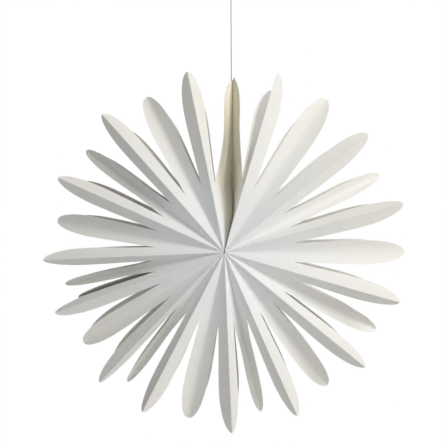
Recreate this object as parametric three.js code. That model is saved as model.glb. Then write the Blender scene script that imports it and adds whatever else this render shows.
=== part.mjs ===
import * as THREE from "three";

// Hanging paper star that folds out like a fan: flat double ribs set edge-on round a centre, joined at
// the front and at the back by V-folded pleats. Millimetres, +Z up, front facing -Y, origin at the top
// of the hanging loop.

// ---- driving dimensions ----
const RADIUS = 225; // nominal length of a rib, from the centre to a petal tip
const DEPTH = 0.68 * RADIUS; // front edge to back edge of a rib
const SECTOR = 18; // degrees of flat paper between a ridge line and the valley line next to it
const CENTRE = [-9, 0, -386]; // star centre from the top of the loop
const RIB_T = 0.5; // two panels glued together
const PANEL_T = 0.3; // a single end panel
const PLEAT_T = 0.36; // pleat paper, measured along Y
const CLEAR = 0.35; // between one piece of paper and the next
const RIB_START = 7; // inner edge of the ribs from the centre
const PLEAT_START = 12;
const NOTCH_AT = 0.39; // share of the radius where the cuts between petals end
const PETAL_BASE = 0.0635; // half width of a petal at the cut's end, share of the radius
const PETAL_WIDE = 0.078; // half width at its widest
const WIDEST_AT = 0.78;
const MIDDLE_WIDER = 1.25; // the middle petals are wider than the others by this
const SHORT_PETAL = 0.9; // end panel b's front half petal is shorter than its neighbour by this
const FOOT_LONG = 0.42; // share of the radius over which the middle petal's broad foot narrows
const STACK_PITCH = 1.2; // rib to rib when folded up
const SEAM_X = 12; // the two end panels meet in an upright plane this far to the right of the centre
const SEAM_LIMIT = 14.2; // but never further round than this, in degrees
const SEAM_HALF_GAP = 0.2;
const REACH_POWER = 1.2;
const TIE_HOLE_R = 2.6; // hole in both end panels that the cord is tied through
const TIE_AT = 215; // that hole's distance from the centre
const CORD_R = 0.6;
const LOOP_LONG = 38;
const LOOP_WIDE = 15;

// Ridges in folding order, from the end panel that carries the cord round to the other end panel:
// angle clockwise from up at the front edge, how far the back edge is turned from it, petal length.
const RIDGES = [
  { at: 348.4, twist: 0.6, long: 1.019 },
  { at: 318.4, twist: 0.8, long: 1.019 },
  { at: 294.1, twist: 0.8, long: 1.008 },
  { at: 267.5, twist: -1.5, long: 1.003 },
  { at: 250.3, twist: 1.2, long: 0.994 },
  { at: 223.75, twist: 1.2, long: 0.997 },
  { at: 207.2, twist: -1.5, long: 0.992 },
  { at: 177.5, twist: -1.5, long: 1.0 },
  { at: 155.9, twist: -0.3, long: 0.989 },
  { at: 129.1, twist: 0, long: 1.003 },
  { at: 105.9, twist: 0, long: 1.008 },
  { at: 74.7, twist: 0, long: 1.025 },
  { at: 50.6, twist: 0, long: 1.028 },
  { at: 16.25, twist: -0.6, long: 1.036 },
];
// Length of the valley petal between each ridge and the next, in the same order.
const VALLEYS = [
  1.007, 1.022, 1.003, 0.994, 0.994, 0.994, 0.994, 0.994, 1.0, 1.019, 1.039,
  1.033, 1.044,
];

const rad = (d) => (d * Math.PI) / 180;
const GAMMA = rad(SECTOR);

// Half width of a petal at x, the share of its length from the centre.
function halfWidth(x) {
  if (x >= 1) return 0;
  if (x > WIDEST_AT) {
    const t = (x - WIDEST_AT) / (1 - WIDEST_AT);
    return PETAL_WIDE * Math.sqrt(Math.max(0, 1 - t * t));
  }
  const t = Math.max(0, (x - NOTCH_AT) / (WIDEST_AT - NOTCH_AT));
  return PETAL_BASE + (PETAL_WIDE - PETAL_BASE) * t * t * (3 - 2 * t);
}
// The stations along a petal, close together where its end rounds over.
const STATIONS = [
  0.39, 0.45, 0.52, 0.6, 0.7, 0.78, 0.84, 0.89, 0.93, 0.96, 0.98, 0.994,
];

// ---- thin sheets ----
// A flat mesh of the outline, with every edge longer than step split.
function flatMesh(outline, holes, step) {
  const pts = [...outline, ...holes.flat()].map((p) => [p[0], p[1]]);
  let tris = THREE.ShapeUtils.triangulateShape(
    outline.map((p) => new THREE.Vector2(p[0], p[1])),
    holes.map((h) => h.map((p) => new THREE.Vector2(p[0], p[1]))),
  );
  for (let round = 0; round < 6; round++) {
    const mid = new Map();
    const split = (a, b) => {
      const k = a < b ? a + "_" + b : b + "_" + a;
      if (mid.has(k)) return mid.get(k);
      const d = Math.hypot(
        (pts[a][0] - pts[b][0]) / step[0],
        (pts[a][1] - pts[b][1]) / step[1],
      );
      const m = d > 1 ? pts.length : -1;
      if (m >= 0)
        pts.push([(pts[a][0] + pts[b][0]) / 2, (pts[a][1] + pts[b][1]) / 2]);
      mid.set(k, m);
      return m;
    };
    const next = [];
    let changed = false;
    for (const [a, b, c] of tris) {
      const ab = split(a, b),
        bc = split(b, c),
        ca = split(c, a);
      const n = (ab >= 0) + (bc >= 0) + (ca >= 0);
      if (n) changed = true;
      if (n === 0) next.push([a, b, c]);
      else if (n === 3)
        next.push([a, ab, ca], [ab, b, bc], [ca, bc, c], [ab, bc, ca]);
      else {
        // turned so that the edges to split come in a known order
        let [p, q, r, m, k] = [a, b, c, ab, bc];
        if (n === 1) {
          if (bc >= 0) [p, q, r, m] = [b, c, a, bc];
          else if (ca >= 0) [p, q, r, m] = [c, a, b, ca];
          next.push([p, m, r], [m, q, r]);
        } else {
          if (ab < 0) [p, q, r, m, k] = [b, c, a, bc, ca];
          else if (bc < 0) [p, q, r, m, k] = [c, a, b, ca, ab];
          next.push([m, q, k], [p, m, k], [p, k, r]);
        }
      }
    }
    tris = next;
    if (!changed) break;
  }
  return { pts, tris };
}

// A closed thin solid: the flat mesh carried to both faces by place(u, v, side), side -1 or 1.
function sheet(parts, place) {
  const index = new Map(),
    uv = [],
    tris = [];
  for (const { pts, tris: ts } of parts) {
    const to = pts.map((p) => {
      const k = p[0].toFixed(4) + "," + p[1].toFixed(4);
      if (!index.has(k)) {
        index.set(k, uv.length);
        uv.push(p);
      }
      return index.get(k);
    });
    for (const t of ts) {
      const [a, b, c] = t.map((i) => to[i]);
      if (a !== b && b !== c && c !== a) tris.push([a, b, c]);
    }
  }
  const n = uv.length,
    pos = [];
  for (const side of [-1, 1])
    for (const [u, v] of uv) pos.push(...place(u, v, side));
  const faces = [],
    edges = new Map();
  for (const [a, b, c] of tris) {
    faces.push(a, c, b, a + n, b + n, c + n);
    for (const [p, q] of [
      [a, b],
      [b, c],
      [c, a],
    ])
      edges.set(p + "_" + q, [p, q]);
  }
  for (const [p, q] of edges.values())
    if (!edges.has(q + "_" + p)) faces.push(p, q, q + n, p, q + n, p + n);
  const g = new THREE.BufferGeometry();
  g.setAttribute("position", new THREE.Float32BufferAttribute(pos, 3));
  g.setIndex(faces);
  return outward(g);
}

// Turns a closed mesh so that its faces point out.
function outward(g) {
  const p = g.attributes.position,
    i = g.index.array;
  const o = new THREE.Vector3().fromBufferAttribute(p, 0);
  let v = 0;
  const a = new THREE.Vector3(),
    b = new THREE.Vector3(),
    c = new THREE.Vector3();
  for (let k = 0; k < i.length; k += 3) {
    a.fromBufferAttribute(p, i[k]).sub(o);
    b.fromBufferAttribute(p, i[k + 1]).sub(o);
    c.fromBufferAttribute(p, i[k + 2]).sub(o);
    v += a.dot(b.cross(c));
  }
  if (v < 0)
    for (let k = 0; k < i.length; k += 3)
      [i[k + 1], i[k + 2]] = [i[k + 2], i[k + 1]];
  const flat = g.toNonIndexed();
  flat.computeVertexNormals();
  return flat;
}

// From the star's own frame, angle clockwise from up, to the part's frame.
function polar(r, deg, y, aside = 0) {
  const a = rad(deg);
  return [
    CENTRE[0] + r * Math.sin(a) + aside * Math.cos(a),
    CENTRE[1] + y,
    CENTRE[2] + r * Math.cos(a) - aside * Math.sin(a),
  ];
}

// ---- ribs and end panels ----
// Outline of a panel as (distance from the centre, y): half petal, cut, whole petal, cut, half petal.
function panelOutline(long, frontShare = 1) {
  const R = RADIUS,
    L = RADIUS * long,
    half = DEPTH / 2;
  // inner side of the cut, where the middle petal narrows from a broad foot
  const foot = half / R - PETAL_BASE - 0.006;
  const middle = STATIONS.map((x) => {
    const t = Math.min(1, Math.max(0, (x - NOTCH_AT) / FOOT_LONG));
    const s = 1 - (1 - t) * (1 - t);
    return [x * L, -(halfWidth(x) * MIDDLE_WIDER * s + foot * (1 - s)) * R];
  });
  // one half petal, out to its tip and back to the cut
  const halfPetal = (tip) => [
    [RIB_START, -half],
    [tip, -half],
    ...[...STATIONS].reverse().map((x) => {
      const t = (x - NOTCH_AT) / (1 - NOTCH_AT);
      return [NOTCH_AT * L * (1 - t) + tip * t, -half + halfWidth(x) * R];
    }),
  ];
  const mirrored = [...halfPetal(L), ...middle].map(([u, v]) => [u, -v]);
  return [...halfPetal(L * frontShare), ...middle, [L, 0], ...mirrored.reverse()];
}

function circle(cx, cy, r, n = 12) {
  return Array.from({ length: n }, (_, i) => [
    cx + r * Math.cos((2 * Math.PI * i) / n),
    cy + r * Math.sin((2 * Math.PI * i) / n),
  ]);
}

const turned = (ridge, y) =>
  ridge.at + ridge.twist * Math.min(1, Math.max(0, (y + DEPTH / 2) / DEPTH));

function rib(ridge) {
  const outline = panelOutline(ridge.long);
  const flat = flatMesh(outline, [], ridge.twist ? [160, 60] : [900, 900]);
  return sheet([flat], (u, v, side) =>
    polar(u, turned(ridge, v), v, (side * RIB_T) / 2),
  );
}

// The share of the way from the seam to the ridge at s, the share of the way from mid-depth to an edge.
function lean(s) {
  const soft = 0.1;
  return (Math.hypot(s, soft) - soft) / (Math.hypot(1, soft) - soft);
}

// How far in from an edge an end panel reaches the seam: near the centre the two lie together almost to their edges.
const reach = (u) =>
  Math.max(4, (DEPTH / 2) * Math.min(1, u / (NOTCH_AT * RADIUS)) ** REACH_POWER);

// An end panel leaves its ridge at the front, leans over to the seam and goes back to its ridge at the back.
function endPanel(ridge, turn, frontShare) {
  const way = turn ? 1 : -1,
    hole = circle(TIE_AT, 0, TIE_HOLE_R);
  const flat = flatMesh(panelOutline(ridge.long, frontShare), [hole], [30, 7]);
  return sheet([flat], (u, v, side) => {
    const share = lean(Math.max(0, 1 - (DEPTH / 2 - Math.abs(v)) / reach(u)));
    const meet =
      turn + (Math.asin(Math.min(SEAM_X / u, Math.sin(rad(SEAM_LIMIT)))) * 180) / Math.PI;
    const at = meet + (turned(ridge, v) - meet) * share;
    const aside =
      -way * (SEAM_HALF_GAP + PANEL_T / 2) * (1 - share) + (side * PANEL_T) / 2;
    return polar(u, at, v, aside);
  });
}

// ---- pleats ----
// One side of a pleat laid flat: u along the ridge, v away from it, cut to the petals' outline.
function facetOutline(longRidge, longValley, sinB) {
  const R = RADIUS,
    Lr = R * longRidge,
    Lv = R * longValley;
  const gap = (RIB_T / 2 + CLEAR) / sinB; // the facet leans, so its gap to the rib is longer in its own plane
  const out = [[PLEAT_START, gap]];
  out.push([Lr * 0.997, gap]);
  for (const x of [...STATIONS].reverse()) {
    const w = halfWidth(x) * R;
    if (x * Lr < Lr * 0.996 && w > gap + 0.4 && x > NOTCH_AT + 0.01)
      out.push([x * Lr, w]);
  }
  // along the valley line, then its half petal back to the cut
  const c = Math.cos(GAMMA),
    s = Math.sin(GAMMA);
  const valley = (a, b) => [a * c + b * s, a * s - b * c];
  const cutEnd = NOTCH_AT * R;
  out.push([
    cutEnd * Math.cos(GAMMA / 2),
    cutEnd * Math.sin(GAMMA / 2),
  ]);
  for (const x of STATIONS)
    if (x > NOTCH_AT + 0.01) out.push(valley(x * Lv, halfWidth(x) * R));
  out.push(valley(Lv, 0));
  const back = 6;
  for (let i = 1; i < back; i++)
    out.push(valley(Lv + ((PLEAT_START + 1.5 - Lv) * i) / back, 0));
  out.push(valley(PLEAT_START + 1.5, 0));
  return out;
}

// Front (face -1) or back (face 1) pleat between two ridges.
function pleat(a, b, longValley, face) {
  const edge = (face * DEPTH) / 2;
  const from = turned(a, edge),
    to = turned(b, edge);
  const alpha = rad(Math.abs(from - to)) / 2;
  const sinB = Math.min(0.9995, Math.tan(alpha) / Math.tan(GAMMA));
  const cosB = Math.sqrt(1 - sinB * sinB);
  const parts = [a, b].map((ridge, k) => {
    const flat = flatMesh(facetOutline(ridge.long, longValley, sinB), [], [900, 900]);
    // the second side is mirrored about the valley line, which keeps the two sides in one flat frame
    const c2 = Math.cos(2 * GAMMA),
      s2 = Math.sin(2 * GAMMA);
    const map = (u, v) => (k ? [u * c2 + v * s2, u * s2 - v * c2] : [u, v]);
    return {
      pts: flat.pts.map((p) => map(p[0], p[1])),
      tris: k ? flat.tris.map(([x, y, z]) => [x, z, y]) : flat.tris,
    };
  });
  return sheet(parts, (u, v, side) => {
    const r = Math.hypot(u, v);
    let t = Math.atan2(v, u);
    const second = t > GAMMA;
    if (second) t = 2 * GAMMA - t;
    const ridge = second ? b : a,
      other = second ? a : b;
    const at = turned(ridge, edge),
      way = Math.sign(turned(other, edge) - at);
    return polar(
      r * Math.cos(t),
      at,
      edge - face * r * Math.sin(t) * cosB + (side * PLEAT_T) / 2,
      way * r * Math.sin(t) * sinB,
    );
  });
}

// ---- cord ----
// A round tube along a line of points, closed into a ring or capped at both ends.
function tube(line, r, closed, n = 10) {
  const p = line.map((q) => new THREE.Vector3(...q));
  const pos = [],
    faces = [],
    m = p.length,
    y = new THREE.Vector3(0, 1, 0);
  p.forEach((c, i) => {
    const a = closed ? p[(i + m - 1) % m] : p[Math.max(0, i - 1)],
      b = closed ? p[(i + 1) % m] : p[Math.min(m - 1, i + 1)];
    const d = b.clone().sub(a).normalize();
    const s = new THREE.Vector3().crossVectors(y, d).normalize(),
      t = new THREE.Vector3().crossVectors(d, s);
    const rr = typeof r === "function" ? r(i / (m - 1)) : r;
    for (let k = 0; k < n; k++) {
      const q = (2 * Math.PI * k) / n;
      const v = c
        .clone()
        .addScaledVector(s, rr * Math.cos(q))
        .addScaledVector(t, rr * Math.sin(q));
      pos.push(v.x, v.y, v.z);
    }
  });
  for (let i = 0; i < (closed ? m : m - 1); i++)
    for (let k = 0; k < n; k++) {
      const a = i * n + k,
        b = i * n + ((k + 1) % n),
        j = (i + 1) % m;
      const c = j * n + ((k + 1) % n),
        d = j * n + k;
      faces.push(a, b, c, a, c, d);
    }
  if (!closed)
    for (const [i, flip] of [
      [0, false],
      [m - 1, true],
    ])
      for (let k = 1; k < n - 1; k++)
        faces.push(
          i * n,
          i * n + (flip ? k : k + 1),
          i * n + (flip ? k + 1 : k),
        );
  const g = new THREE.BufferGeometry();
  g.setAttribute("position", new THREE.Float32BufferAttribute(pos, 3));
  g.setIndex(faces);
  return outward(g);
}

const bead = (from, to, r) => {
  const line = [],
    n = 8;
  for (let i = 0; i <= n; i++)
    line.push(from.map((f, k) => f + ((to[k] - f) * i) / n));
  return tube(line, (t) => r * Math.sqrt(Math.max(0.08, 1 - (2 * t - 1) ** 2)), false);
};

// ---- the assembly ----
const star = new THREE.Group();
star.name = "paper_snowflake_star";

const paper = (name) =>
  new THREE.MeshStandardMaterial({ name, color: 0xf1efea, roughness: 0.9, side: THREE.DoubleSide });
const ribPaper = paper("rib_paper"),
  pleatPaper = paper("pleat_paper"),
  endPaper = paper("end_panel_paper");
const cordCotton = new THREE.MeshStandardMaterial({ name: "cord_cotton", color: 0xcfc8b8, roughness: 0.95 });

function add(name, geometry, material) {
  const mesh = new THREE.Mesh(geometry, material);
  mesh.name = name;
  star.add(mesh);
}
const two = (n) => String(n).padStart(2, "0");

const last = RIDGES.length - 1;
add("end_panel_a", endPanel(RIDGES[0], 360, 1), endPaper);
for (let i = 1; i < last; i++) add("rib_" + two(i), rib(RIDGES[i]), ribPaper);
add("end_panel_b", endPanel(RIDGES[last], 0, SHORT_PETAL), endPaper);
for (let i = 0; i < last; i++) {
  add("pleat_front_" + two(i + 1), pleat(RIDGES[i], RIDGES[i + 1], VALLEYS[i], -1), pleatPaper);
  add("pleat_back_" + two(i + 1), pleat(RIDGES[i], RIDGES[i + 1], VALLEYS[i], 1), pleatPaper);
}

// The cord is tied through the two holes, rises beside end panel a and ends in a loop.
const tie = [
  CENTRE[0] + SEAM_X,
  0,
  CENTRE[2] + Math.sqrt(TIE_AT * TIE_AT - SEAM_X * SEAM_X),
];
const cordX = tie[0] - 2.5;
add("tie_knot", bead([tie[0] - 3.6, 0, tie[2]], [tie[0] + 3, 0, tie[2]], 1.7), cordCotton);
const knotAt = -LOOP_LONG;
const route = new THREE.CatmullRomCurve3([
  new THREE.Vector3(cordX, 0, tie[2] + 2.2),
  new THREE.Vector3(cordX, 0, tie[2] + 24),
  new THREE.Vector3(cordX * 0.7, 0, tie[2] * 0.6 + knotAt * 0.4),
  new THREE.Vector3(cordX * 0.3, 0, tie[2] * 0.3 + knotAt * 0.7),
  new THREE.Vector3(0, 0, knotAt - 5.4),
]);
const section = new THREE.Shape(
  Array.from({ length: 8 }, (_, i) => {
    const q = (Math.PI * i) / 4;
    return new THREE.Vector2(CORD_R * Math.cos(q), CORD_R * Math.sin(q));
  }),
);
add(
  "cord",
  new THREE.ExtrudeGeometry(section, { steps: 40, bevelEnabled: false, extrudePath: route }),
  cordCotton,
);
add("loop_knot", bead([0, 0, knotAt - 5], [0, 0, knotAt - 0.2], 1.9), cordCotton);
const ring = [];
for (let i = 0; i < 36; i++) {
  const q = (2 * Math.PI * i) / 36;
  const down = (1 - Math.cos(q)) / 2; // 0 at the top of the loop, 1 at the knot
  const z = -CORD_R - down * (LOOP_LONG - 2 * CORD_R - 0.2);
  ring.push([(LOOP_WIDE / 2) * Math.sin(q) * (1 - 0.62 * down), 0, z]);
}
add("hang_loop", tube(ring, CORD_R, true), cordCotton);

export default star;
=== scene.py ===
import math
import bpy
import numpy as np
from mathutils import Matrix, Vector


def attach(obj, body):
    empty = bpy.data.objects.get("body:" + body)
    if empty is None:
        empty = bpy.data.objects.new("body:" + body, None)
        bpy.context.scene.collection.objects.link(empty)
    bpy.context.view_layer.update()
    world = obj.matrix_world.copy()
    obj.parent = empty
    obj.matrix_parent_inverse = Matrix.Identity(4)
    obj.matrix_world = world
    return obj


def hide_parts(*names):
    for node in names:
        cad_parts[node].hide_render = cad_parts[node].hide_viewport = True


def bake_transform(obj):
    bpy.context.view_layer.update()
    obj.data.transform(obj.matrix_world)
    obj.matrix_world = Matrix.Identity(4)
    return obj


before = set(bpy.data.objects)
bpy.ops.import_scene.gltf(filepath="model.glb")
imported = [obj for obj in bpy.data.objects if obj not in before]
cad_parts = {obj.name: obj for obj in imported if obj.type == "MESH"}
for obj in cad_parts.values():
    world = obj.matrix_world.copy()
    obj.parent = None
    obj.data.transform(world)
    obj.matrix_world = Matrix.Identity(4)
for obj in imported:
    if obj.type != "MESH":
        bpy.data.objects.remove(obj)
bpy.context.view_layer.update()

RNG = np.random.default_rng(11)

# ---- the same dimensions as the CAD, in metres and degrees ----
R = 0.225
DEPTH = 0.68 * R
GAMMA = math.radians(18)
C = np.array([-0.009, 0.0, -0.386])
RIB_START, PLEAT_START = 0.0035, 0.0012
NOTCH, BASE, WIDE, WIDEST = 0.39, 0.0635, 0.078, 0.78
SEAM_X, SEAM_LIMIT, SEAM_HALF = 0.012, 14.2, 0.0001
TIE_AT, LOOP_LONG, LOOP_WIDE, CORD_R = 0.215, 0.038, 0.015, 0.0006
RIDGES = [
    (348.4, 0.6, 1.019), (318.4, 0.8, 1.019), (294.1, 0.8, 1.008), (267.5, -1.5, 1.003),
    (250.3, 1.2, 0.994), (223.75, 1.2, 0.997), (207.2, -1.5, 0.992), (177.5, -1.5, 1.0),
    (155.9, -0.3, 0.989), (129.1, 0, 1.003), (105.9, 0, 1.008), (74.7, 0, 1.025),
    (50.6, 0, 1.028), (16.25, -0.6, 1.036),
]
VALLEY_LONG = [1.007, 1.022, 1.003, 0.994, 0.994, 0.994, 0.994, 0.994, 1.0, 1.019, 1.039, 1.033, 1.044]
VALLEY_OFF = [-0.4, -0.35, -0.3, -0.8, 0, 1.1, -0.15, 0.5, 0, -0.1, -0.3, 1.1, 0.3]  # from the middle of the gap, at the front
CREASE_SOFT = [0.8, 1.2, 3.0, 1.0, 1.5, 1.0, 0.8, 1.2, 1.0, 1.5, 3.5, 1.5, 1.5]  # how far the valley fold has relaxed, in degrees
BOW = 0.15 + RNG.uniform(-0.03, 0.03, 14)  # how far each rib bows sideways between centre and tip, in degrees: nearly alike, so that the leaves nest when folded
PINCH = [1.0, 0.80, 1.0, 0.74, 1.0, 0.74, 1.0, 0.74, 1.0, 1.0, 1.0, 0.86, 1.0]  # width left of each free valley petal, which flattens as it narrows, 1 for no change
CURL = RNG.uniform(-0.003, 0.003, (13, 2))  # how far a valley petal's tip curls out of its plane
LEAVES = ["end_a"] + [f"leaf_{i:02d}" for i in range(1, 13)] + ["end_b"]


def half_width(x):
    x = np.asarray(x, float)
    t = np.clip((x - NOTCH) / (WIDEST - NOTCH), 0, 1)
    w = BASE + (WIDE - BASE) * t * t * (3 - 2 * t)
    u = np.clip((x - WIDEST) / (1 - WIDEST), 0, 1)
    return np.where(x > WIDEST, WIDE * np.sqrt(np.maximum(0, 1 - u * u)), w)


# Stations along a petal: even up to its widest, then close together where the end rounds over.
OUTER = np.concatenate([np.linspace(NOTCH, WIDEST, 13), WIDEST + (1 - WIDEST) * np.sin(np.linspace(0, math.pi / 2, 15))[1:]])


def polar(r, deg, y, aside=0.0):
    a = np.radians(deg)
    r, a, y, aside = np.broadcast_arrays(r, a, y, aside)
    return np.stack([C[0] + r * np.sin(a) + aside * np.cos(a), C[1] + y, C[2] + r * np.cos(a) - aside * np.sin(a)], -1)


def turned(k, y):
    at, twist, _ = RIDGES[k]
    return at + twist * np.clip((np.asarray(y) + DEPTH / 2) / DEPTH, 0, 1)


def bow(k, r):
    return BOW[k] * np.sin(np.clip(np.asarray(r) / R, 0, 1.1) * math.pi * 0.9)


class Sheet:
    """A surface collected from grids, whose shared points are merged."""

    def __init__(self):
        self.index, self.points, self.faces = {}, [], []

    def grid(self, p):
        rows, cols = p.shape[:2]
        ids = np.zeros((rows, cols), int)
        for i in range(rows):
            for j in range(cols):
                key = tuple(np.round(p[i, j] * 1e5).astype(int))
                if key not in self.index:
                    self.index[key] = len(self.points)
                    self.points.append(p[i, j])
                ids[i, j] = self.index[key]
        for i in range(rows - 1):
            for j in range(cols - 1):
                f = [ids[i, j], ids[i, j + 1], ids[i + 1, j + 1], ids[i + 1, j]]
                f = [int(v) for n, v in enumerate(f) if v != f[n - 1]]
                if len(set(f)) >= 3 and len(set(f)) == len(f):
                    self.faces.append(f)

    def make(self, name, thick, mat):
        mesh = bpy.data.meshes.new(name)
        mesh.from_pydata([tuple(map(float, q)) for q in self.points], [], self.faces)
        mesh.validate()
        import bmesh
        bm = bmesh.new()
        bm.from_mesh(mesh)
        bmesh.ops.recalc_face_normals(bm, faces=bm.faces)
        bm.to_mesh(mesh)
        bm.free()
        o = bpy.data.objects.new(name, mesh)
        bpy.context.scene.collection.objects.link(o)
        s = o.modifiers.new("thick", "SOLIDIFY")
        s.thickness, s.offset, s.use_even_offset = thick, 0, False
        apply(o)
        o.data.polygons.foreach_set("use_smooth", [True] * len(o.data.polygons))
        o.data.set_sharp_from_angle(angle=math.radians(38))
        o.data.materials.append(mat)
        return o


def apply(o):
    dg = bpy.context.evaluated_depsgraph_get()
    dg.update()
    mesh = bpy.data.meshes.new_from_object(o.evaluated_get(dg))
    o.modifiers.clear()
    old = o.data
    o.data = mesh
    mesh.name = old.name
    bpy.data.meshes.remove(old)


# ---- materials ----
def nodes_of(name):
    m = bpy.data.materials.new(name)
    m.use_nodes = True
    return m, m.node_tree, m.node_tree.nodes["Principled BSDF"]


def ramp(tree, source, a, b, low=0.35, high=0.65):
    n = tree.nodes.new("ShaderNodeValToRGB")
    n.color_ramp.elements[0].position, n.color_ramp.elements[1].position = low, high
    n.color_ramp.elements[0].color, n.color_ramp.elements[1].color = (*a, 1), (*b, 1)
    tree.links.new(source, n.inputs[0])
    return n.outputs[0]


def noise(tree, scale, detail=3.0, rough=0.5, coords=None, stretch=None):
    n = tree.nodes.new("ShaderNodeTexNoise")
    n.inputs["Scale"].default_value = scale
    n.inputs["Detail"].default_value = detail
    n.inputs["Roughness"].default_value = rough
    if stretch:
        m = tree.nodes.new("ShaderNodeMapping")
        m.inputs["Scale"].default_value = stretch
        tree.links.new(coords, m.inputs[0])
        coords = m.outputs[0]
    if coords is not None:
        tree.links.new(coords, n.inputs["Vector"])
    return n.outputs[0]


def paper(name, light, dark, soft=0.12, inside=None):
    """Uncoated white paper: faint clouds and short fibres in the colour, a fine tooth and a slight cockle in the surface."""
    m, t, p = nodes_of(name)
    co = t.nodes.new("ShaderNodeTexCoord").outputs["Object"]
    clouds = ramp(t, noise(t, 28, 4, 0.55, co), dark, light, 0.3, 0.7)
    fibre = noise(t, 1, 5, 0.7, co, (900, 900, 240))
    mix = t.nodes.new("ShaderNodeMix")
    mix.data_type, mix.blend_type = "RGBA", "MULTIPLY"
    mix.inputs[0].default_value = 0.55
    t.links.new(clouds, mix.inputs[6])
    t.links.new(ramp(t, fibre, (0.965, 0.96, 0.95), (1, 1, 1), 0.35, 0.6), mix.inputs[7])
    colour = mix.outputs[2]
    if inside:  # painted warm shade: deep inside the star, away from its front and back edges, the colour is multiplied towards yellow in place of light bounced between the folds
        xyz = t.nodes.new("ShaderNodeSeparateXYZ")
        t.links.new(co, xyz.inputs[0])
        deep = t.nodes.new("ShaderNodeMath")
        deep.operation = "ABSOLUTE"
        t.links.new(xyz.outputs[1], deep.inputs[0])
        painted_shade_mask = t.nodes.new("ShaderNodeMapRange")
        painted_shade_mask.interpolation_type = "SMOOTHSTEP"
        painted_shade_mask.inputs["From Min"].default_value, painted_shade_mask.inputs["From Max"].default_value = 0.074, 0.045
        t.links.new(deep.outputs[0], painted_shade_mask.inputs["Value"])
        painted_warm_shade = t.nodes.new("ShaderNodeMix")
        painted_warm_shade.data_type, painted_warm_shade.blend_type = "RGBA", "MULTIPLY"
        t.links.new(painted_shade_mask.outputs[0], painted_warm_shade.inputs[0])
        t.links.new(colour, painted_warm_shade.inputs[6])
        # painted warm shade: this yellow multiplier stands in for bounced light deep inside the star
        painted_warm_shade.inputs[7].default_value = (*inside, 1)
        colour = painted_warm_shade.outputs[2]
    # the colour is multiplied towards cream from the centre out to the petals
    near = t.nodes.new("ShaderNodeVectorMath")
    near.operation = "SUBTRACT"
    t.links.new(co, near.inputs[0])
    near.inputs[1].default_value = [float(q) for q in C]
    flat = t.nodes.new("ShaderNodeVectorMath")
    flat.operation = "MULTIPLY"
    t.links.new(near.outputs[0], flat.inputs[0])
    flat.inputs[1].default_value = (1, 0, 1)
    size = t.nodes.new("ShaderNodeVectorMath")
    size.operation = "LENGTH"
    t.links.new(flat.outputs[0], size.inputs[0])
    outer = t.nodes.new("ShaderNodeMapRange")
    outer.inputs["From Min"].default_value, outer.inputs["From Max"].default_value = 0.06, 0.20
    t.links.new(size.outputs["Value"], outer.inputs["Value"])
    cream = t.nodes.new("ShaderNodeMix")
    cream.data_type, cream.blend_type = "RGBA", "MULTIPLY"
    t.links.new(outer.outputs[0], cream.inputs[0])
    t.links.new(colour, cream.inputs[6])
    cream.inputs[7].default_value = (1.0, 0.975, 0.915, 1)
    t.links.new(cream.outputs[2], p.inputs["Base Color"])
    rough = t.nodes.new("ShaderNodeMapRange")
    rough.inputs["To Min"].default_value, rough.inputs["To Max"].default_value = 0.72, 0.92
    t.links.new(fibre, rough.inputs["Value"])
    t.links.new(rough.outputs[0], p.inputs["Roughness"])
    p.inputs["Specular IOR Level"].default_value = 0.25
    p.inputs["Subsurface Weight"].default_value = soft
    p.inputs["Subsurface Radius"].default_value = (1.0, 0.8, 0.55)
    p.inputs["Subsurface Scale"].default_value = 0.0015
    tooth = t.nodes.new("ShaderNodeBump")
    tooth.inputs["Strength"].default_value, tooth.inputs["Distance"].default_value = 0.10, 0.0002
    t.links.new(fibre, tooth.inputs["Height"])
    cockle = t.nodes.new("ShaderNodeBump")
    cockle.inputs["Strength"].default_value, cockle.inputs["Distance"].default_value = 0.22, 0.002
    t.links.new(noise(t, 16, 2, 0.4, co), cockle.inputs["Height"])
    t.links.new(tooth.outputs[0], cockle.inputs["Normal"])
    t.links.new(cockle.outputs[0], p.inputs["Normal"])
    return m


def twine(name):
    m, t, p = nodes_of(name)
    co = t.nodes.new("ShaderNodeTexCoord").outputs["Object"]
    fibre = noise(t, 1, 4, 0.6, co, (2600, 2600, 700))
    t.links.new(ramp(t, fibre, (0.27, 0.22, 0.14), (0.44, 0.38, 0.27)), p.inputs["Base Color"])
    p.inputs["Roughness"].default_value = 0.95
    b = t.nodes.new("ShaderNodeBump")
    b.inputs["Strength"].default_value, b.inputs["Distance"].default_value = 0.4, 0.0001
    t.links.new(fibre, b.inputs["Height"])
    t.links.new(b.outputs[0], p.inputs["Normal"])
    return m


PLEAT = paper("pleat_paper", (0.955, 0.95, 0.935), (0.935, 0.93, 0.912), 0.2)
# painted shade: the ribs are the same paper as the pleats, given a darker, yellower copy because they stand in shade
# inside the star
RIB = paper("rib_paper", (0.90, 0.89, 0.862), (0.87, 0.86, 0.83))
# the last colour is the painted warm shade deep inside the star, standing in for bounced light
END = paper("end_paper", (0.95, 0.945, 0.925), (0.925, 0.915, 0.885), 0.35, (0.995, 0.955, 0.85))
CORD = twine("cord")

# ---- camera ----
cam = bpy.data.cameras.new("camera")
camera = bpy.data.objects.new("camera", cam)
bpy.context.scene.collection.objects.link(camera)
SCALE = R / 181  # metres of the front plane to one of the picture's 448 columns
DIST = 4.0 * R
camera.location = (C[0] - 0.3 * SCALE, -DEPTH / 2 - DIST, C[2] + 28.4 * SCALE)
camera.rotation_euler = (math.pi / 2, 0, 0)
cam.sensor_width = 36
cam.lens = 36 * DIST / (448 * SCALE)
cam.clip_start = 0.01
bpy.context.scene.camera = camera


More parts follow.
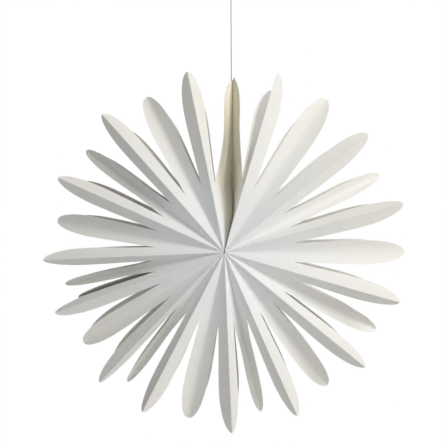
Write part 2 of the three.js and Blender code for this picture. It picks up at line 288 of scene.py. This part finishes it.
# ---- cord, knots and loop ----
def smooth_line(points, n):
    """Points spread along a Catmull-Rom curve through the given ones."""
    p = np.array(points, float)
    p = np.vstack([2 * p[0] - p[1], p, 2 * p[-1] - p[-2]])
    out = []
    for i in range(1, len(p) - 2):
        for t in np.linspace(0, 1, n, endpoint=i == len(p) - 3):
            a, b, c, d = p[i - 1], p[i], p[i + 1], p[i + 2]
            out.append(0.5 * (2 * b + (c - a) * t + (2 * a - 5 * b + 4 * c - d) * t * t + (3 * b - a - 3 * c + d) * t**3))
    return np.array(out)


def spaced(line, step):
    along = np.concatenate([[0], np.cumsum(np.linalg.norm(np.diff(line, axis=0), axis=1))])
    at = np.linspace(0, along[-1], max(3, int(along[-1] / step) + 1))
    return np.stack([np.interp(at, along, line[:, k]) for k in range(3)], 1)


def strand(name, line, radius, closed=False, turn=0.0032, sides=12):
    """A three-ply twisted cord along the line."""
    n = len(line)
    up = np.array([0.0, 1.0, 0.0])
    verts, faces = [], []
    along = 0.0
    for i in range(n):
        a = line[(i - 1) % n] if closed else line[max(0, i - 1)]
        b = line[(i + 1) % n] if closed else line[min(n - 1, i + 1)]
        d = (b - a) / max(np.linalg.norm(b - a), 1e-12)
        s = np.cross(up, d)
        s = s / np.linalg.norm(s) if np.linalg.norm(s) > 1e-6 else np.array([1.0, 0, 0])
        t = np.cross(d, s)
        if i:
            along += float(np.linalg.norm(line[i] - line[i - 1]))
        for k in range(sides):
            q = 2 * math.pi * k / sides
            r = radius * (0.90 + 0.12 * math.cos(3 * (q - 2 * math.pi * along / turn)))
            verts.append(tuple(line[i] + s * r * math.cos(q) + t * r * math.sin(q)))
    for i in range(n if closed else n - 1):
        for k in range(sides):
            j = (i + 1) % n
            faces.append((i * sides + k, i * sides + (k + 1) % sides, j * sides + (k + 1) % sides, j * sides + k))
    if not closed:
        faces.append(tuple(reversed(range(sides))))
        faces.append(tuple((n - 1) * sides + k for k in range(sides)))
    mesh = bpy.data.meshes.new(name)
    mesh.from_pydata(verts, [], faces)
    import bmesh
    bm = bmesh.new()
    bm.from_mesh(mesh)
    bmesh.ops.recalc_face_normals(bm, faces=bm.faces)
    bm.to_mesh(mesh)
    bm.free()
    mesh.polygons.foreach_set("use_smooth", [True] * len(mesh.polygons))
    o = bpy.data.objects.new(name, mesh)
    bpy.context.scene.collection.objects.link(o)
    o.data.materials.append(CORD)
    return o


def knot_line(middle, axis, size, stretch):
    """An overhand knot pulled tight round an axis."""
    axis = np.array(axis, float) / np.linalg.norm(axis)
    s = np.cross(axis, [0, 1, 0])
    s /= np.linalg.norm(s)
    t = np.cross(axis, s)
    q = np.linspace(0, 2 * math.pi, 90, endpoint=False)
    x, y, z = np.sin(q) + 2 * np.sin(2 * q), np.cos(q) - 2 * np.cos(2 * q), -np.sin(3 * q)
    return np.array(middle) + size * (np.outer(x, s) + np.outer(y, t)) / 3 + stretch * np.outer(z, axis)


tie = np.array([C[0] + SEAM_X, 0.0, C[2] + math.sqrt(TIE_AT**2 - SEAM_X**2)])
tie_axis = [1.0, 0.0, 0.0]
cord_x = float(tie[0]) - 0.0025
starts = np.array([cord_x, 0.0, tie[2] + 0.0022])
knot_z = -LOOP_LONG
route = smooth_line([
    starts, [cord_x, 0, tie[2] + 0.024],
    [cord_x * 0.7, 0, tie[2] * 0.6 + knot_z * 0.4],
    [cord_x * 0.3, 0, tie[2] * 0.3 + knot_z * 0.7],
    [0, 0, knot_z - 0.0054],
], 12)
route = spaced(route, 0.0004)
cord = strand("hanging_cord", route, CORD_R)
loop_knot = strand("loop_knot_tied", knot_line([0, 0, knot_z - 0.0026], (0, 0, 1), 0.00135, 0.0016), CORD_R * 0.95, True)
tie_knot = strand("tie_knot_tied", knot_line(tie, tie_axis, 0.0011, 0.0026), CORD_R * 0.95, True)
q = np.linspace(0, 2 * math.pi, 240, endpoint=False)
down = (1 - np.cos(q)) / 2
ring = np.stack([(LOOP_WIDE / 2) * np.sin(q) * (1 - 0.62 * down), 0 * q, -CORD_R - down * (LOOP_LONG - 2 * CORD_R - 0.0002)], 1)
loop = strand("hanging_loop", ring, CORD_R, True)
for piece, node in ((cord, "cord"), (loop_knot, "loop_knot"), (tie_knot, "tie_knot"), (loop, "hang_loop")):
    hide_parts(node)
    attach(piece, "end_a")


# ---- ribs ----
FOOT = DEPTH / 2 / R - BASE - 0.006


def middle_width(x):
    t = np.clip((x - NOTCH) / 0.42, 0, 1)
    s = 1 - (1 - t) ** 2
    return 1.25 * half_width(x) * s + FOOT * (1 - s)


def panel(long, front_share=1.0):
    """Grids of (distance from the centre, y) that make up one panel's outline."""
    L, half = R * long, DEPTH / 2
    inner = np.linspace(RIB_START, NOTCH * L, 12)
    grids = []
    across = np.linspace(0, 1, 7)
    rows = np.concatenate([inner, OUTER[1:] * L])
    w = np.where(rows <= NOTCH * L, BASE, half_width(rows / L)) * R
    for side, tip in ((-1, L * front_share), (1, L)):
        t = np.clip((rows / L - NOTCH) / (1 - NOTCH), 0, 1)
        out = np.where(rows <= NOTCH * L, rows, NOTCH * L * (1 - t) + tip * t)
        grids.append(np.stack([np.repeat(out[:, None], 7, 1), side * (half - w[:, None] * across)], -1))
    foot = np.where(rows <= NOTCH * L, half / R - BASE, middle_width(rows / L)) * R
    foot[len(inner) - 1] = half - BASE * R
    across = np.linspace(-1, 1, 41)
    grids.append(np.stack([np.repeat(rows[:, None], 41, 1), foot[:, None] * across], -1))
    return grids


def make_rib(k):
    s = Sheet()
    wave = RNG.uniform(-0.00007, 0.00007, 3)
    for g in panel(RIDGES[k][2]):
        u, v = g[..., 0], g[..., 1]
        inside = 1 - (np.abs(v) / (DEPTH / 2)) ** 4  # the folds hold a rib straight at its front and back edges
        aside = inside * (wave[0] * np.sin(u * 40) + wave[1] * np.cos(v * 60 + u * 22) + 1.6 * wave[2] * np.sin(u * 18 + v * 35))
        s.grid(polar(u, turned(k, v) + bow(k, u), v, aside))
    o = s.make(f"rib_leaf_{k:02d}", 0.0005, RIB)
    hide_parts(f"rib_{k:02d}")
    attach(o, LEAVES[k])


def lean(v, soft):
    """The share of the way from the seam to the ridge at v, the share of the way from mid-depth to an edge."""
    return (np.hypot(v, soft) - soft) / (math.hypot(1, soft) - soft)


def make_end(k, node, body, soft, front_share):
    s = Sheet()
    turn = 360 if RIDGES[k][0] > 180 else 0
    way = 1 if turn else -1
    for n, g in enumerate(panel(RIDGES[k][2], front_share)):
        u, v = g[..., 0], g[..., 1]
        reach = np.maximum(0.004, DEPTH / 2 * np.minimum(1, u / (NOTCH * R)) ** 1.2)
        share = lean(np.clip(1 - (DEPTH / 2 - np.abs(v)) / reach, 0, 1), soft)
        meet = turn + np.degrees(np.arcsin(np.minimum(SEAM_X / u, math.sin(math.radians(SEAM_LIMIT)))))
        at = meet + (turned(k, v) + bow(k, u) - meet) * share
        aside = -way * (SEAM_HALF + 0.00015) * (1 - share)
        y = v
        if n == 0 and front_share < 1:  # the short half petal has opened out flat
            free = np.clip((u / (R * RIDGES[k][2]) - NOTCH) / 0.2, 0, 1)
            y = -DEPTH / 2 + (v + DEPTH / 2) * (1 - 0.72 * free * free * (3 - 2 * free))
        s.grid(polar(u, at, y, aside))
    o = s.make(node + "_leaf", 0.0003, END)
    # the hole that the cord is tied through
    hole = bpy.data.meshes.new("hole")
    import bmesh
    bm = bmesh.new()
    bmesh.ops.create_cone(bm, cap_ends=True, segments=24, radius1=0.0026, radius2=0.0026, depth=0.008)
    bm.to_mesh(hole)
    bm.free()
    cutter = bpy.data.objects.new("cutter", hole)
    bpy.context.scene.collection.objects.link(cutter)
    cutter.rotation_mode = "QUATERNION"
    cutter.rotation_quaternion = Vector(tie_axis).to_track_quat("Z", "Y")
    cutter.location = [float(x) for x in tie]
    b = o.modifiers.new("hole", "BOOLEAN")
    b.operation, b.object, b.solver = "DIFFERENCE", cutter, "EXACT"
    apply(o)
    bpy.data.objects.remove(cutter)
    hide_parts(node)
    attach(o, body)


# ---- pleats ----
def make_pleat(i, face):
    a, b = i, i + 1
    edge = face * DEPTH / 2
    at_a, at_b = float(turned(a, edge)), float(turned(b, edge))
    alpha = math.radians(at_a - at_b) / 2
    sin_b = min(0.9995, math.tan(alpha) / math.tan(GAMMA))
    cos_b = math.sqrt(1 - sin_b * sin_b)
    gap = 0.00022 / sin_b
    Lv, off = R * VALLEY_LONG[i], VALLEY_OFF[i] * (1 if face < 0 else 0.5 * (-1) ** i)
    if face > 0 and PINCH[i] < 1:  # a narrowed petal at the back lies in line with the one at the front
        off = VALLEY_OFF[i] - (RIDGES[a][1] + RIDGES[b][1]) / 2
    soft = math.radians(CREASE_SOFT[i])
    curl = CURL[i, 0 if face < 0 else 1]
    s = Sheet()
    for k, other, way in ((a, b, -1), (b, a, 1)):
        Lr, at = R * RIDGES[k][2], float(turned(k, edge))

        def place(r, t, x):
            # t is the flat angle from the ridge; near the valley the fold has relaxed into a curve
            d = GAMMA - t
            d = np.sqrt(d * d + soft * soft) * GAMMA / math.sqrt(GAMMA * GAMMA + soft * soft)
            lift = GAMMA - d
            share = t / GAMMA
            y = edge - face * r * np.sin(lift) * cos_b
            out = np.clip((x - NOTCH) / (1 - NOTCH), 0, 1.1)
            y = y + curl * out**2 * share**2 - face * 0.0006 * np.sin(share * math.pi) * np.sin(out * 3)
            deg = at + bow(k, r) * (1 - share) + off * share + 0.5 * (bow(a, r) + bow(b, r)) * share
            return polar(r * np.cos(t), deg, y, way * r * np.sin(t) * sin_b)

        def pinched(r, t, x):
            """The same, with the free petal narrower and flatter about its valley line."""
            p, line = place(r, t, x), place(r, np.full_like(t, GAMMA), x)
            free = np.clip((x - NOTCH) / 0.2, 0, 1)
            free = free * free * (3 - 2 * free)
            narrow = 1 - (1 - PINCH[i]) * free
            flat = 1 - min(1, 2.5 * (1 - PINCH[i])) * free
            return line + (p - line) * np.stack([narrow, flat, narrow], -1)

        n = 8
        across = np.linspace(0, 1, n)
        # up to the cut the two halves meet half way; beyond it each petal has its own outline
        inner = np.linspace(PLEAT_START, NOTCH * R, 14)
        t0 = np.arcsin(np.minimum(0.9 * math.sin(GAMMA / 2), gap / inner))
        t = t0[:, None] + (GAMMA / 2 - t0[:, None]) * across
        s.grid(place(np.repeat(inner[:, None], n, 1), t, inner[:, None] / R))
        t = GAMMA / 2 + (GAMMA / 2) * across
        s.grid(place(np.repeat(inner[:, None], n, 1), np.repeat(t[None], len(inner), 0), inner[:, None] / R))
        for L, ridge in ((Lr, True), (Lv, False)):
            rows = OUTER * L
            rows[0] = NOTCH * R
            w = half_width(OUTER) * R
            w[0] = NOTCH * R * math.tan(GAMMA / 2)
            t_edge = np.arctan(w / rows)
            t_edge[0] = GAMMA / 2
            t_edge[1] = min(t_edge[1], GAMMA / 2 * 0.985)
            if ridge:
                g0 = np.arcsin(np.minimum(gap / rows, 1))
                g0[-1] = 0
                t = g0[:, None] + np.maximum(t_edge - g0, 0)[:, None] * across
            else:
                t = GAMMA - t_edge[:, None] * (1 - across)
            s.grid((place if ridge else pinched)(np.repeat(rows[:, None], n, 1), t, OUTER[:, None]))
    side = "front" if face < 0 else "back"
    o = s.make(f"pleat_{side}_leaf_{i + 1:02d}", 0.00025, PLEAT)
    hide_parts(f"pleat_{side}_{i + 1:02d}")
    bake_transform(o)


make_end(0, "end_panel_a", "end_a", 0.06, 1.0)
for k in range(1, 13):
    make_rib(k)
make_end(13, "end_panel_b", "end_b", 0.14, 0.9)
for i in range(13):
    for face in (-1, 1):
        make_pleat(i, face)

# ---- floor, backdrop and light ----
def flat_colour(name, colour, emission=0.0):
    m, t, p = nodes_of(name)
    p.inputs["Base Color"].default_value = (*colour, 1)
    p.inputs["Roughness"].default_value = 1
    if emission:
        p.inputs["Emission Color"].default_value = (1, 1, 1, 1)
        p.inputs["Emission Strength"].default_value = emission
    return m


import bmesh
bm = bmesh.new()
bmesh.ops.create_circle(bm, cap_ends=True, segments=96, radius=1.4)
mesh = bpy.data.meshes.new("floor")
bm.to_mesh(mesh)
bm.free()
floor = bpy.data.objects.new("floor", mesh)
floor.location = (0, 0, -1.3)
bpy.context.scene.collection.objects.link(floor)
floor.data.materials.append(flat_colour("floor", (0.8, 0.8, 0.8), 0.25))

bm = bmesh.new()
bmesh.ops.create_uvsphere(bm, u_segments=48, v_segments=24, radius=6)
mesh = bpy.data.meshes.new("backdrop")
bm.to_mesh(mesh)
bm.free()
backdrop = bpy.data.objects.new("backdrop", mesh)
bpy.context.scene.collection.objects.link(backdrop)
backdrop.data.materials.append(flat_colour("backdrop", (0, 0, 0), 1.0))
backdrop.visible_diffuse = backdrop.visible_glossy = backdrop.visible_transmission = backdrop.visible_shadow = False

world = bpy.data.worlds.new("world")
bpy.context.scene.world = world
world.use_nodes = True
world.node_tree.nodes["Background"].inputs[0].default_value = (0.93, 0.96, 1.0, 1)
world.node_tree.nodes["Background"].inputs[1].default_value = 0.25


def area(name, at, size, power, colour):
    d = bpy.data.lights.new(name, "AREA")
    d.shape, d.size, d.energy, d.color = "DISK", size, power, colour
    o = bpy.data.objects.new(name, d)
    bpy.context.scene.collection.objects.link(o)
    o.location = at
    o.rotation_euler = (Vector(C) - Vector(at)).to_track_quat("-Z", "Y").to_euler()
    return o


area("key", (0.90, -0.82, 0.22), 0.7, 12.2, (1.0, 0.98, 0.945))
area("fill", (-1.6, -2.0, 0.2), 1.8, 3, (0.90, 0.94, 1.0))
area("front", (0.1, -2.6, -0.2), 1.6, 3, (1, 1, 1))
area("back", (0.5, 2.6, 0.2), 1.8, 14, (1, 0.99, 0.97)).visible_camera = False
bpy.context.scene.view_settings.view_transform = "Standard"
